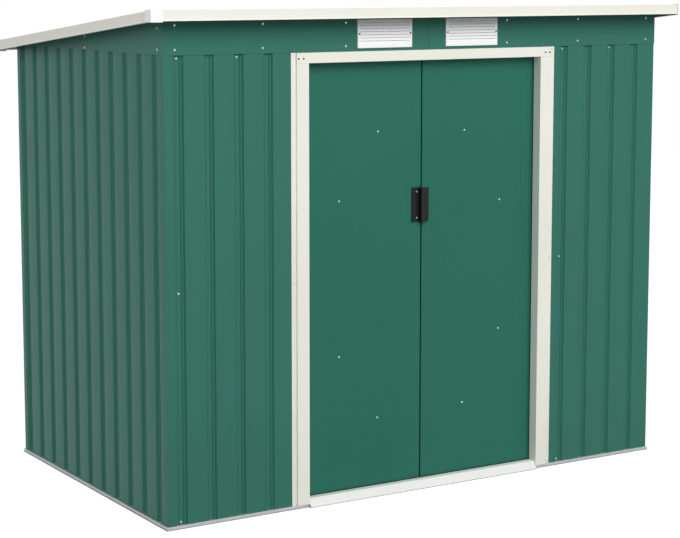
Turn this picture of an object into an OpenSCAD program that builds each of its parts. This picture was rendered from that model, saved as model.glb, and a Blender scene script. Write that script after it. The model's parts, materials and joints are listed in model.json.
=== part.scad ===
// Metal storage shed with a mono-pitch roof and two sliding doors.
// Origin on the ground under the middle of the roof's outline, +Z up, front towards -Y.

/* [Walls] */
// Outer width of the walls
wall_w = 1970; // [1600:10:2600]
// Outer depth of the walls
wall_d = 1176; // [900:6:1800]
// Height at which the ribbed walls pass under the gable panels
wall_h = 1500; // [1300:10:1900]
// Thickness of every folded sheet
sheet_t = 1.5; // [1:0.1:2.5]

/* [Wall ribs] */
// Distance from a panel's left edge to its first groove
groove_first = 53; // [45:1:90]
// Spacing of the grooves
groove_pitch = 106; // [80:1:160]
// Width of a groove
groove_w = 35; // [30:1:50]
// Depth of a groove
groove_depth = 7; // [5:0.5:10]
// Width of a groove's gentle slope, on its left
groove_lead = 8; // [5:0.5:12]
// Width of a groove's steep slope, on its right
groove_side = 4; // [3:0.5:8]
// Width of the bead along a groove's floor
bead_w = 6; // [5:0.5:12]
// Height of the bead along a groove's floor
bead_h = 4.5; // [2:0.5:6]
// Flat width between the bead and the steep slope
bead_gap = 4; // [2:0.5:8]
// Width of the flange that wraps round a corner
wrap_w = 28; // [25:1:44]

/* [Doorway] */
// Clear width of the doorway
door_open_w = 936; // [700:4:1200]
// Height of the header over the doorway
header_h = 34; // [28:1:60]
// Width of the jamb's face
jamb_face_w = 45; // [30:1:60]
// Width of the jamb's flange on the wall
jamb_flange_w = 18; // [12:1:30]
// How far the jamb and header stand out from the walls
frame_proud = 8; // [4:0.5:15]
// How far the jamb and header reach back from the walls
frame_back = 30; // [25:1:40]

/* [Doors] */
// How far a leaf reaches past the doorway's edge when shut
leaf_overlap = 30; // [15:1:45]
// Gap between the two leaves when shut
leaf_gap = 5; // [2:0.5:6]
// Depth of a leaf's folded edge
leaf_thick = 12; // [10:1:18]
// Distance from the closing edge to the inner brace
brace_near = 175; // [120:5:220]
// Distance from the closing edge to the outer brace
brace_far = 327; // [260:1:400]
// Width of a brace
brace_w = 34; // [24:1:50]

/* [Door pull] */
// Height of the pull
pull_h = 117; // [90:1:150]
// Width of the pull's plate
pull_w = 35; // [28:1:42]
// Thickness of the pull's plate and grip
pull_t = 3.5; // [2.5:0.1:5]
// How far the grip stands out from the leaf
pull_out = 20; // [16:1:30]
// Width of the grip
grip_w = 29; // [24:1:40]
// Height of the middle of the pull
pull_z = 975; // [700:1:1200]

/* [Roof] */
// Roof overhang at the front
over_front = 84; // [60:1:120]
// Roof overhang at the rear
over_rear = 10; // [10:1:60]
// Roof overhang at each side
over_side = 80; // [60:1:120]
// Height of the front corner caps above the ribbed walls
roof_rise = 145; // [140:5:220]
// Fall of the roof towards the rear, in degrees
roof_pitch = 5.8; // [3:0.1:8]
// Number of roof sheets
roof_sheets = 4; // [3:1:5]
// Height of a roof rib
rib_h = 13; // [8:1:18]
// Height of the fascia's face
fascia_h = 34; // [28:1:50]
// Width of the fascia's flange on the roof
fascia_top_w = 25; // [18:1:40]
// Length of each leg of a corner cap
cap_leg = 41; // [35:1:60]
// Thickness of a corner cap
cap_t = 3; // [2:0.5:5]

/* [Base] */
// Height of the base rail's ledge
base_h = 10; // [8:1:16]
// Height of the base rail's upstand
base_up = 34; // [25:1:50]
// Width of the base rail's foot, from its lip
base_foot = 35; // [33:1:60]
// How far the base rail's lip stands out from the walls
base_out = 5; // [3:1:10]
// Height of the threshold
ramp_h = 26; // [18:1:30]
// How far the threshold reaches in front of the walls
ramp_out = 16; // [12:1:40]

/* [Vents] */
// Width of a vent
vent_w = 213; // [150:1:260]
// Height of a vent
vent_h = 94; // [60:1:96]
// Distance from the middle of the shed to a vent's middle
vent_x = 175; // [140:5:400]
// Number of slats in a vent
vent_slats = 7; // [4:1:9]

/* [Hidden] */
$fn = 32;

green = "#3e7366";
cream = "#e9e9dc";
galvanised = "#c8cbc8";
white = "#eceef0";
black = "#161a1a";
nylon = "#303432";

// Overall outline
half_w = wall_w / 2;
roof_w = wall_w + 2 * over_side;
roof_d = over_front + wall_d + over_rear;
front_y = over_front - roof_d / 2;
rear_y = front_y + wall_d;
half_open = door_open_w / 2;
frame_half = half_open + jamb_face_w;

// Clearances between pieces that meet, and how far a cut runs past what it cuts
contact = 0.05;
fit = 0.2;
seam = 0.4;
past = 1;
big = 4000;

// Depths measured inwards from the outer face of the walls
rib_back = groove_depth + sheet_t;
rail_back = rib_back + sheet_t;
leaf_clear = 6;
leaf_face = frame_back + leaf_clear;
leaf_back = leaf_face + leaf_thick;

// Where the top rails and the beam end, from the outer face of the wall beside them
rail_gap = 2;
rail_end = rail_back + rail_gap;

// Heights of the door and of what carries it
header_drop = 1;
header_top = wall_h - header_drop;
door_open_h = header_top - header_h;
header_lap = 9;
leaf_top = door_open_h + header_lap;
leaf_bottom = ramp_h;
track_lift = 8;
track_lip = leaf_top + track_lift;
track_top = wall_h;

// The roof's sheets lie on a plane that falls to the rear
fall = tan(roof_pitch);
roof_top = wall_h + roof_rise;
sheet_top = sheet_t + rib_h;
flange_top = sheet_top + sheet_t;
cap_top = flange_top + cap_t;
roof_under = roof_top - cap_top / cos(roof_pitch);
roof_len = roof_d / cos(roof_pitch);

// Height of a plane that lies n above the underside of the roof's sheets
function roof_z(y, n = 0) = roof_under + n / cos(roof_pitch) - fall * (y + roof_d / 2);

// Height at which a piece meets the underside of the roof's sheets
function under_roof(y) = roof_z(y, -contact);

// Turns a plan or section to the wall on side k: 0 front, 1 right, 2 rear, 3 left.
// In that wall's own frame X runs along it from its left end, Y goes inwards.
module on_side(k) {
    corner = [[-half_w, front_y], [half_w, front_y], [half_w, rear_y], [-half_w, rear_y]];
    translate([corner[k][0], corner[k][1], 0])
        rotate([0, 0, 90 * k])
            children();
}

// The roof's own frame: X across, Y down the fall from the front edge, Z out of the roof
module on_roof() {
    translate([0, -roof_d / 2, roof_under])
        rotate([-roof_pitch, 0, 0])
            children();
}

// Carries a section in (Y, Z) from x0 to x1
module run(x0, x1) {
    translate([x0, 0, 0])
        rotate([90, 0, 90])
            linear_extrude(x1 - x0)
                children();
}

// A block between two corners
module block(low, high) {
    translate(low)
        cube(high - low);
}

// Everything above a plane n above the underside of the roof's sheets
module above_roof(n) {
    on_roof()
        block([-roof_w, -big / 2, n], [roof_w, big, big]);
}

/* ---- ribbed walls ---- */

// Grooves along a panel of width w that leave its last stretch flat
panel_edge = 30;
function groove_count(w) = 1 + floor((w - groove_first - groove_w / 2 - panel_edge) / groove_pitch);

// Where a groove's floor ends and the bead's middle lies, from the groove's middle
floor_end = groove_w / 2 - groove_side;
bead_mid = floor_end - bead_gap - bead_w / 2;

// The outer line of one groove about c, with a bead along its floor
function groove(c) = [
    [c - groove_w / 2, 0],
    [c - groove_w / 2 + groove_lead, groove_depth],
    [c + bead_mid - bead_w / 2, groove_depth],
    [c + bead_mid, groove_depth - bead_h],
    [c + bead_mid + bead_w / 2, groove_depth],
    [c + floor_end, groove_depth],
    [c + groove_w / 2, 0]
];

function groove_line(w) = [
    for (k = [0 : groove_count(w) - 1])
        for (p = groove(groove_first + k * groove_pitch)) p
];

function thickened(points) = [for (p = points) [p[0], p[1] + sheet_t]];
function reversed(points) = [for (k = [len(points) - 1 : -1 : 0]) points[k]];

// The plan of a ribbed panel that starts at u0 and ends at w
module panel_plan(u0, w) {
    outer = concat([[u0, 0]], groove_line(w), [[w, 0]]);
    polygon(concat(outer, reversed(thickened(outer))));
}

// A ribbed panel as high as top, which wraps round the corner at its right end if asked
module panel(u0, w, top, wraps) {
    translate([0, 0, base_h])
        linear_extrude(top - base_h)
            panel_plan(u0, w);
    if (wraps) {
        block([w - sheet_t, 0, base_h], [w + sheet_t, sheet_t, min(top, header_top)]);
        block([w, 0, base_h], [w + sheet_t, wrap_w, min(top, header_top)]);
    }
}

gable_cover = 18;
wall_top = wall_h + gable_cover;
panel_lap = 8;
rear_drop = 1;
front_panel_w = half_w - frame_half - jamb_flange_w + panel_lap;
corner_start = sheet_t + fit;

module front_wall_left() {
    color(green)
        on_side(0)
            panel(corner_start, front_panel_w, wall_top, false);
}

module front_wall_right() {
    color(green)
        on_side(0)
            translate([wall_w - front_panel_w, 0, 0])
                panel(0, front_panel_w, wall_top, true);
}

module side_wall(k) {
    color(green)
        difference() {
            on_side(k)
                panel(corner_start, wall_d, wall_top, true);
            above_roof(-sheet_t - fit);
            beam_room();
        }
}

module rear_wall() {
    color(green)
        on_side(2)
            panel(corner_start, wall_w, roof_z(rear_y + sheet_t) - rear_drop, true);
}

/* ---- base ---- */

// A folded rail in the wall's own frame: lip, ledge under the wall, upstand and foot
module rail_section(with_upstand) {
    foot_end = base_foot - base_out;
    translate([-base_out, 0])
        square([sheet_t, base_h]);
    translate([-base_out, base_h - sheet_t])
        square([rail_back + base_out, sheet_t]);
    translate([-base_out, 0])
        square([foot_end + base_out, sheet_t]);
    if (with_upstand) {
        translate([rib_back, base_h - sheet_t])
            square([sheet_t, base_up - base_h + sheet_t]);
    }
}

// The plan of a rail of length w with its ends cut to meet the next rails
module mitred_plan(w) {
    inner = base_foot - base_out;
    polygon([
        [-base_out + fit, -base_out],
        [w + base_out - fit, -base_out],
        [w - inner - fit, inner],
        [inner + fit, inner]
    ]);
}

module mitred_rail(w) {
    intersection() {
        children();
        linear_extrude(base_up + past)
            mitred_plan(w);
    }
}

module base_rail(k, w) {
    color(galvanised)
        on_side(k)
            mitred_rail(w)
                run(-base_out, w + base_out)
                    rail_section(true);
}

// The front rail has no upstand across the doorway
module base_rail_front() {
    color(galvanised)
        on_side(0)
            mitred_rail(wall_w) {
                union() {
                    run(-base_out, front_panel_w)
                        rail_section(true);
                    run(front_panel_w, wall_w - front_panel_w)
                        rail_section(false);
                    run(wall_w - front_panel_w, wall_w + base_out)
                        rail_section(true);
                }
            }
}

// A bent sheet that covers the front rail in the doorway
ramp_rise = 20;
ramp_gap = 2;
ramp_back = frame_back - ramp_gap;
module threshold_ramp() {
    slope_end = ramp_rise - ramp_out;
    color(white)
        translate([0, front_y, 0])
            run(-half_open + fit, half_open - fit)
                polygon([
                    [-ramp_out, fit],
                    [slope_end, ramp_h],
                    [ramp_back, ramp_h],
                    [ramp_back, sheet_t],
                    [ramp_back - sheet_t, sheet_t],
                    [ramp_back - sheet_t, ramp_h - sheet_t],
                    [slope_end + sheet_t / 2, ramp_h - sheet_t],
                    [-ramp_out + sheet_t, fit]
                ]);
}

/* ---- posts and rails inside the walls ---- */

post_leg = 30;
module corner_post(k) {
    color(galvanised)
        on_side(k)
            translate([rib_back, rib_back, base_up + fit]) {
                cube([post_leg, sheet_t, side_rail_low - base_up - 2 * fit]);
                cube([sheet_t, post_leg, side_rail_low - base_up - 2 * fit]);
            }
}

side_rail_drop = 8;
side_rail_h = 28;
side_rail_flange = 20;
side_rail_top = roof_z(rear_y) - side_rail_drop;
side_rail_low = side_rail_top - side_rail_h;
module top_rail_side(k) {
    color(galvanised)
        on_side(k)
            run(rail_end, wall_d - rail_end) {
                translate([rib_back, side_rail_low])
                    square([sheet_t, side_rail_top - side_rail_low]);
                translate([rib_back, side_rail_top - sheet_t])
                    square([side_rail_flange, sheet_t]);
            }
}

// The front rail joins the walls over the doorway and carries the doors' track
front_rail_drop = 22;
front_rail_low = wall_h - front_rail_drop;
module top_rail_front() {
    color(galvanised)
        on_side(0)
            run(rail_end, wall_w - rail_end) {
                translate([rib_back, front_rail_low])
                    square([sheet_t, wall_top - front_rail_low]);
                translate([rib_back, track_top])
                    square([track_back - rib_back, sheet_t]);
            }
}

rear_rail_flange = 25;
module top_rail_rear() {
    out = rear_y - rib_back;
    in = out - sheet_t;
    end = out - rear_rail_flange;
    color(galvanised)
        run(-half_w + rail_end, half_w - rail_end)
            polygon([
                [out, side_rail_low],
                [out, under_roof(out)],
                [end, under_roof(end)],
                [end, under_roof(end) - sheet_t],
                [in, under_roof(in) - sheet_t],
                [in, side_rail_low]
            ]);
}

/* ---- gable panels under the roof ---- */

gable_fold = 25;
gable_lap = 25;
vent_cut = 14;

module vent_hole(x) {
    middle = vent_middle();
    block([x - vent_w / 2 + vent_cut, front_y - 2 * sheet_t, middle - vent_h / 2 + vent_cut],
        [x + vent_w / 2 - vent_cut, front_y + sheet_t, middle + vent_h / 2 - vent_cut]);
}

// The face of a front gable from x0 to x1, with its fold under the roof from x2 to x3
module front_gable(x0, x1, x2, x3) {
    out = front_y - sheet_t;
    end = out + gable_fold;
    run(x0, x1)
        polygon([
            [out, wall_h],
            [out, under_roof(out)],
            [front_y, under_roof(front_y)],
            [front_y, wall_h]
        ]);
    run(x2, x3)
        polygon([
            [out, under_roof(out)],
            [end, under_roof(end)],
            [end, under_roof(end) - sheet_t],
            [out, under_roof(out) - sheet_t]
        ]);
}

module front_gable_left() {
    color(green) {
        difference() {
            front_gable(-half_w - sheet_t, -seam, -half_w + fit, -seam);
            vent_hole(-vent_x);
        }
        block([-gable_lap, front_y, wall_h + sheet_t + fit],
            [gable_lap, front_y + sheet_t, roof_z(front_y + sheet_t) - 3 * sheet_t]);
    }
}

module front_gable_right() {
    color(green)
        difference() {
            front_gable(seam, half_w + sheet_t, seam, half_w - fit);
            vent_hole(vent_x);
        }
}

// A three-cornered panel that runs out where the roof comes down to the walls
gable_tip = 4;
gable_end = min(rear_y - 2 * gable_fold, (roof_under - wall_h - gable_tip) / fall - roof_d / 2);
module side_gable(side) {
    start = front_y + fit;
    color(green)
        mirror([side > 0 ? 1 : 0, 0, 0]) {
            run(-half_w - sheet_t, -half_w)
                polygon([
                    [start, wall_h],
                    [start, under_roof(start)],
                    [gable_end, under_roof(gable_end)],
                    [gable_end, wall_h]
                ]);
            run(-half_w - sheet_t, -half_w + gable_fold)
                polygon([
                    [start + gable_fold, under_roof(start + gable_fold)],
                    [gable_end, under_roof(gable_end)],
                    [gable_end, under_roof(gable_end) - sheet_t],
                    [start + gable_fold, under_roof(start + gable_fold) - sheet_t]
                ]);
        }
}

/* ---- roof ---- */

beam_w = 30;
beam_h = 40;

// Room for the beam where a steep roof brings it down to the side walls
module beam_room() {
    on_roof()
        run(-roof_w, roof_w)
            translate([roof_len / 2 - beam_w / 2 - fit, -beam_h - fit])
                square([beam_w + 2 * fit, beam_h + fit]);
}

// A channel under the sheets from one gable to the other
module roof_beam() {
    mid = roof_len / 2;
    color(galvanised)
        on_roof() {
            run(-half_w + fit, half_w - fit) {
                translate([mid - beam_w / 2, -beam_h])
                    square([beam_w, sheet_t]);
                translate([mid - beam_w / 2, -beam_h])
                    square([sheet_t, beam_h - sheet_t - fit]);
                translate([mid + beam_w / 2 - sheet_t, -beam_h])
                    square([sheet_t, beam_h - sheet_t - fit]);
            }
            run(-half_w + gable_fold + fit, half_w - gable_fold - fit) {
                translate([mid - beam_w / 2, -beam_h])
                    square([sheet_t, beam_h - contact]);
                translate([mid + beam_w / 2 - sheet_t, -beam_h])
                    square([sheet_t, beam_h - contact]);
            }
        }
}

roof_ribs = 5;
rib_crest = 20;
rib_base = 40;
roof_edge = cap_t + sheet_t + fit;
end_gap = 4;
roof_sheet_w = (roof_w - 2 * roof_edge) / roof_sheets;

// The upper line of a roof sheet, from the middle of one rib to the middle of another
function roof_line(w) = [
    for (k = [0 : roof_ribs])
        for (p = [[-rib_base, 0], [-rib_crest, rib_h], [rib_crest, rib_h], [rib_base, 0]])
            let (x = k * w / roof_ribs + p[0] / 2)
                if (x >= 0 && x <= w) [x, p[1]]
];

module roof_sheet(k) {
    w = roof_sheet_w - seam;
    line = concat([[0, rib_h]], roof_line(w), [[w, rib_h]]);
    color(green)
        on_roof()
            translate([-roof_w / 2 + roof_edge + (k - 1) * roof_sheet_w + seam / 2, 0, 0])
                translate([0, roof_len - roof_edge - end_gap, 0])
                    rotate([90, 0, 0])
                        linear_extrude(roof_len - 2 * roof_edge - end_gap)
                            polygon(concat(thickened(line), reversed(line)));
}

fascia_return = 12;
drip_out = 2.5;
drip_h = 5;

// The section of a fascia along the front or rear edge, whose face is at y
module eave_section(y, dir, turn) {
    top = roof_z(y, flange_top);
    low = top - fascia_h;
    polygon([
        [y, low],
        [y, top],
        [y + dir * fascia_top_w, roof_z(y + dir * fascia_top_w, flange_top)],
        [y + dir * fascia_top_w, roof_z(y + dir * fascia_top_w, sheet_top + contact)],
        [y + dir * sheet_t, roof_z(y + dir * sheet_t, sheet_top + contact)],
        [y + dir * sheet_t, low + sheet_t],
        [y + dir * turn, low + sheet_t],
        [y + dir * turn, low]
    ]);
}

module drip_section(y, low, dir) {
    polygon([[y, low], [y, low + drip_h], [y - dir * drip_out, low + sheet_t], [y - dir * drip_out, low]]);
}

module eave_fascia(y, dir, turn) {
    span = roof_w / 2 - cap_t;
    low = roof_z(y, flange_top) - fascia_h;
    color(cream) {
        run(-span, span)
            eave_section(y, dir, turn);
        run(-roof_w / 2 + cap_leg + fit, roof_w / 2 - cap_leg - fit)
            drip_section(y, low, dir);
    }
}

module side_fascia(side) {
    x = cap_t - roof_w / 2;
    start = cap_t + fascia_top_w + end_gap;
    drip_start = cap_leg + end_gap;
    low = flange_top - fascia_h;
    color(cream)
        mirror([side > 0 ? 1 : 0, 0, 0])
            on_roof() {
                translate([0, roof_len - start, 0])
                    rotate([90, 0, 0])
                        linear_extrude(roof_len - 2 * start)
                            polygon([
                                [x, low],
                                [x, flange_top],
                                [x + fascia_top_w, flange_top],
                                [x + fascia_top_w, sheet_top + contact],
                                [x + sheet_t, sheet_top + contact],
                                [x + sheet_t, low + sheet_t],
                                [x + fascia_return, low + sheet_t],
                                [x + fascia_return, low]
                            ]);
                translate([0, roof_len - drip_start, 0])
                    rotate([90, 0, 0])
                        linear_extrude(roof_len - 2 * drip_start)
                            polygon([
                                [x, low],
                                [x, low + drip_h],
                                [x - drip_out, low + sheet_t],
                                [x - drip_out, low]
                            ]);
            }
}

cap_drop = 4;

// A cap over the corner at (sx, sy), with its low edge at z
module corner_cap(sx, sy, z) {
    skin = cap_t - contact;
    intersection() {
        difference() {
            mirror([sx > 0 ? 1 : 0, 0, 0])
                mirror([0, sy > 0 ? 1 : 0, 0])
                    block([-roof_w / 2, -roof_d / 2, z],
                        [cap_leg - roof_w / 2, cap_leg - roof_d / 2, roof_top + past]);
            above_roof(cap_top);
        }
        union() {
            above_roof(flange_top + contact);
            mirror([sx > 0 ? 1 : 0, 0, 0])
                block([-roof_w, -roof_d, 0], [skin - roof_w / 2, roof_d, roof_top + past]);
            mirror([0, sy > 0 ? 1 : 0, 0])
                block([-roof_w, -roof_d, 0], [roof_w, skin - roof_d / 2, roof_top + past]);
        }
    }
}

module corner_caps() {
    front_low = roof_z(-roof_d / 2, flange_top) - fascia_h - cap_drop;
    rear_low = roof_z(roof_d / 2, flange_top) - fascia_h - cap_drop;
    color(white)
        for (sx = [-1, 1]) {
            corner_cap(sx, -1, front_low);
            corner_cap(sx, 1, rear_low);
        }
}

/* ---- door frame ---- */

jamb_return = 20;
// The plan of a jamb: X outwards from the doorway's edge, Y inwards
module jamb_plan() {
    face = -frame_proud;
    flange_end = jamb_face_w + jamb_flange_w;
    polygon([
        [flange_end, -sheet_t],
        [jamb_face_w, -sheet_t],
        [jamb_face_w, face],
        [0, face],
        [0, frame_back],
        [jamb_return, frame_back],
        [jamb_return, frame_back - sheet_t],
        [sheet_t, frame_back - sheet_t],
        [sheet_t, face + sheet_t],
        [jamb_face_w - sheet_t, face + sheet_t],
        [jamb_face_w - sheet_t, 0],
        [flange_end, 0]
    ]);
}

module door_jamb(side) {
    flange_end = jamb_face_w + jamb_flange_w;
    color(cream)
        mirror([side < 0 ? 1 : 0, 0, 0])
            translate([half_open, front_y, base_h + fit]) {
                linear_extrude(door_open_h - base_h - 2 * fit)
                    jamb_plan();
                block([jamb_face_w + fit, -sheet_t, 0], [flange_end, 0, header_top - base_h - fit]);
            }
}

header_upturn = 10;
module door_header() {
    face = -frame_proud;
    color(cream)
        translate([0, front_y, 0]) {
            run(-frame_half, frame_half)
                polygon([
                    [face, door_open_h],
                    [face, header_top],
                    [rib_back, header_top],
                    [rib_back, header_top - sheet_t],
                    [face + sheet_t, header_top - sheet_t],
                    [face + sheet_t, door_open_h + sheet_t],
                    [frame_back - sheet_t, door_open_h + sheet_t],
                    [frame_back - sheet_t, door_open_h + header_upturn],
                    [frame_back, door_open_h + header_upturn],
                    [frame_back, door_open_h]
                ]);
            for (x = [-frame_half, frame_half - sheet_t]) {
                block([x, face, door_open_h], [x + sheet_t, 0, header_top]);
            }
        }
}

/* ---- tracks, leaves and pulls ---- */

track_clear = 0.7;
slider_clear = 0.5;
track_front_room = 2;
track_back_room = 8;
track_face = leaf_face - track_front_room;
track_back = leaf_back + track_back_room;
track_lip_w = 3;
track_end = rib_back + side_rail_flange + fit;
module door_top_track() {
    low = track_lip;
    color(galvanised)
        on_side(0)
            run(track_end, wall_w - track_end) {
                translate([track_face, track_top - sheet_t])
                    square([track_back - track_face, sheet_t]);
                for (y = [track_face, track_back - sheet_t])
                    translate([y, low])
                        square([sheet_t, track_top - low]);
                for (y = [track_face, track_back - sheet_t - track_lip_w])
                    translate([y, low])
                        square([sheet_t + track_lip_w, sheet_t]);
            }
}

guide_room = 1;
guide_front = leaf_face - guide_room;
guide_back = leaf_back + guide_room;
guide_h = leaf_bottom - leaf_clear;
module door_bottom_track() {
    start = base_foot - base_out + seam;
    color(galvanised)
        on_side(0)
            run(start, wall_w - start) {
                translate([start, 0])
                    square([guide_back - start, sheet_t]);
                translate([guide_front, 0])
                    square([sheet_t, guide_h]);
                translate([guide_back - sheet_t, 0])
                    square([sheet_t, guide_h]);
            }
}

leaf_in = leaf_gap / 2;
leaf_out = half_open + leaf_overlap;
leaf_w = leaf_out - leaf_in;

// The frame of a leaf: X from its closing edge outwards, Y inwards from the wall
module on_leaf(side) {
    mirror([side < 0 ? 1 : 0, 0, 0])
        translate([leaf_in, front_y, 0])
            children();
}

// A folded tray, open to the inside
module door_leaf(side) {
    color(green)
        on_leaf(side)
            difference() {
                block([0, leaf_face, leaf_bottom], [leaf_w, leaf_back, leaf_top]);
                block([sheet_t, leaf_face + sheet_t, leaf_bottom + sheet_t],
                    [leaf_w - sheet_t, leaf_back + past, leaf_top - sheet_t]);
            }
}

module leaf_braces(side) {
    low = leaf_bottom + sheet_t + fit;
    high = leaf_top - sheet_t - fit;
    near = leaf_face + sheet_t;
    color(galvanised)
        on_leaf(side)
            for (x = [brace_near, brace_far])
                translate([x - leaf_in - brace_w / 2, 0, 0]) {
                    block([0, near, low], [brace_w, near + sheet_t, high]);
                    block([0, near, low], [sheet_t, leaf_back, high]);
                    block([brace_w - sheet_t, near, low], [brace_w, leaf_back, high]);
                }
}

slider_w = 40;
slider_inset = 55;
module leaf_sliders(side) {
    neck = track_face + sheet_t + track_lip_w + track_clear;
    neck_back = track_back - sheet_t - track_lip_w - track_clear;
    head = track_face + sheet_t + track_clear;
    head_back = track_back - sheet_t - track_clear;
    head_low = track_lip + sheet_t + slider_clear;
    shoe = guide_front + sheet_t + track_clear;
    shoe_back = guide_back - sheet_t - track_clear;
    color(nylon)
        on_leaf(side)
            for (x = [slider_inset, leaf_w - slider_inset - slider_w]) {
                block([x, neck, leaf_top], [x + slider_w, neck_back, head_low]);
                block([x, head, head_low], [x + slider_w, head_back, track_top - sheet_t - slider_clear]);
                block([x, shoe, sheet_t + slider_clear], [x + slider_w, shoe_back, leaf_bottom]);
            }
}

pull_edge = 2.5;
pull_rim = 7;
rim_lift = 1.5;
grip_root = 6;
grip_round = 10;

// A plate on the left leaf, with a grip that reaches past the leaf's closing edge
module door_pull() {
    low = pull_z - pull_h / 2;
    high = pull_z + pull_h / 2;
    plate_end = pull_edge + pull_w;
    plate_face = leaf_face - pull_t;
    grip_face = leaf_face - pull_out;
    grip_end = grip_root + pull_t;
    grip_tip = grip_end - grip_w;
    color(black)
        on_leaf(-1) {
            block([pull_edge, plate_face, low], [plate_end, leaf_face, high]);
            block([plate_end - pull_rim, plate_face - rim_lift, low], [plate_end, plate_face, high]);
            block([grip_root, grip_face, low], [grip_end, leaf_face, high]);
            translate([0, grip_face + pull_t, 0])
                rotate([90, 0, 0])
                    linear_extrude(pull_t)
                        polygon(concat(
                            [[grip_end, low], [grip_end, high], [grip_tip, high]],
                            [for (a = [0 : 15 : 90])
                                [grip_tip + grip_round * (1 - cos(a)), low + grip_round * (1 - sin(a))]]
                        ));
        }
}

/* ---- vents ---- */

vent_frame = 9;
vent_foot = 14;
vent_out = 5;
vent_bar = 4;
slat_t = 1.2;
slat_tilt = 62;
vent_gap = 9;
function vent_middle() = wall_h + vent_gap + vent_h / 2;

// A frame with slats whose front edges hang low, and a bar down the middle
module vent(x) {
    face = front_y - sheet_t - vent_out;
    back = front_y - sheet_t;
    low = vent_middle() - vent_h / 2;
    high = vent_middle() + vent_h / 2;
    left = x - vent_w / 2;
    right = x + vent_w / 2;
    sill = low + vent_foot;
    head = high - vent_frame;
    step = (head - sill) / vent_slats;
    reach = vent_out / cos(slat_tilt);
    color(white) {
        difference() {
            block([left, face, low], [right, back, high]);
            block([left + vent_frame, face - past, sill], [right - vent_frame, back + past, head]);
        }
        block([x - vent_bar / 2, face, sill], [x + vent_bar / 2, back, head]);
        for (k = [1 : vent_slats])
            intersection() {
                block([left + past, face, low], [right - past, back, high]);
                translate([left, (face + back) / 2, sill + (k - 1 / 2) * step])
                    rotate([slat_tilt, 0, 0])
                        translate([0, -reach, -slat_t / 2])
                            cube([vent_w, 2 * reach, slat_t]);
            }
    }
}

base_rail_front();
base_rail(2, wall_w);  // base_rail_rear
base_rail(3, wall_d);  // base_rail_left
base_rail(1, wall_d);  // base_rail_right
threshold_ramp();
front_wall_left();
front_wall_right();
side_wall(3);  // left_wall
side_wall(1);  // right_wall
rear_wall();
corner_post(0);  // corner_post_front_left
corner_post(1);  // corner_post_front_right
corner_post(2);  // corner_post_rear_right
corner_post(3);  // corner_post_rear_left
front_gable_left();
front_gable_right();
side_gable(-1);  // side_gable_left
side_gable(1);  // side_gable_right
top_rail_front();
top_rail_rear();
top_rail_side(3);  // top_rail_left
top_rail_side(1);  // top_rail_right
roof_beam();
for (k = [1 : roof_sheets])
    roof_sheet(k);
eave_fascia(cap_t - roof_d / 2, 1, fascia_return);  // fascia_front
eave_fascia(roof_d / 2 - cap_t, -1, sheet_t);  // fascia_rear
side_fascia(-1);  // fascia_left
side_fascia(1);  // fascia_right
corner_caps();
door_jamb(-1);  // door_jamb_left
door_jamb(1);  // door_jamb_right
door_header();
door_top_track();
door_bottom_track();
door_leaf(-1);  // door_leaf_left
door_leaf(1);  // door_leaf_right
leaf_braces(-1);  // leaf_braces_left
leaf_braces(1);  // leaf_braces_right
leaf_sliders(-1);  // leaf_sliders_left
leaf_sliders(1);  // leaf_sliders_right
door_pull();
vent(-vent_x);  // vent_left
vent(vent_x);  // vent_right
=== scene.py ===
"""Looks for a metal storage shed: ribbed sheets, folded trim, doors, vents, screws and a stage."""

import json
import math

import bmesh
import bpy
import numpy as np
from bpy.props import FloatProperty, FloatVectorProperty, IntProperty, PointerProperty
from bpy.types import Operator, Panel, PropertyGroup
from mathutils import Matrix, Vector


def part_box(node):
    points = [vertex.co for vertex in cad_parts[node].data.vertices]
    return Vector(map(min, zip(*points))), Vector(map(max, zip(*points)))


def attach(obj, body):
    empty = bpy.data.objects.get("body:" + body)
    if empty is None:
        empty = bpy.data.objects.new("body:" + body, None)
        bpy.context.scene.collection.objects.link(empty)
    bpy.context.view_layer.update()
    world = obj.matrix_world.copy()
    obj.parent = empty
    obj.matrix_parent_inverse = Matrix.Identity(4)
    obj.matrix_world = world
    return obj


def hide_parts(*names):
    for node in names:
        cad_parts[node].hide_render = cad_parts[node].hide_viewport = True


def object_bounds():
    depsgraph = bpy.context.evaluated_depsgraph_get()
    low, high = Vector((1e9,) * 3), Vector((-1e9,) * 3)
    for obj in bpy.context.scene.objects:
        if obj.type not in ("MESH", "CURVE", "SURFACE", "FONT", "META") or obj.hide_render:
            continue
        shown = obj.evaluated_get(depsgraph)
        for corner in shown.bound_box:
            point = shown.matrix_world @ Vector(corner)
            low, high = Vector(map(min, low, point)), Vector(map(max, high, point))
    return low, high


bl_info = {
    "name": "Metal storage shed",
    "version": (1, 0, 0),
    "blender": (4, 5, 0),
    "location": "3D View > Sidebar > Shed",
    "description": "Sheets, trim, doors, vents and screws of a small metal shed",
    "category": "Object",
}

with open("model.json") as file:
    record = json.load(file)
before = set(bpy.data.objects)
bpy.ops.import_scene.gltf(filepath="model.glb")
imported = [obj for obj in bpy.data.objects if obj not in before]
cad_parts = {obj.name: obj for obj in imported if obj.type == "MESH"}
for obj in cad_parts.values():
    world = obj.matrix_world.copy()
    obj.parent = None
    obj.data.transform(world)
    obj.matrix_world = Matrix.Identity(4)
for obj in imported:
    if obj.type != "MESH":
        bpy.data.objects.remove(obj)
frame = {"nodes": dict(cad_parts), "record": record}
CAD_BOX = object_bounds()
SHED, LEFT_LEAF, RIGHT_LEAF = "shed", "left_leaf", "right_leaf"


def corners(node):
    """Lowest and highest corner of a node as arrays."""
    low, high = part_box(node)
    return np.array(low), np.array(high)


# Thickness of every folded sheet
SHEET = 0.0015

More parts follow.
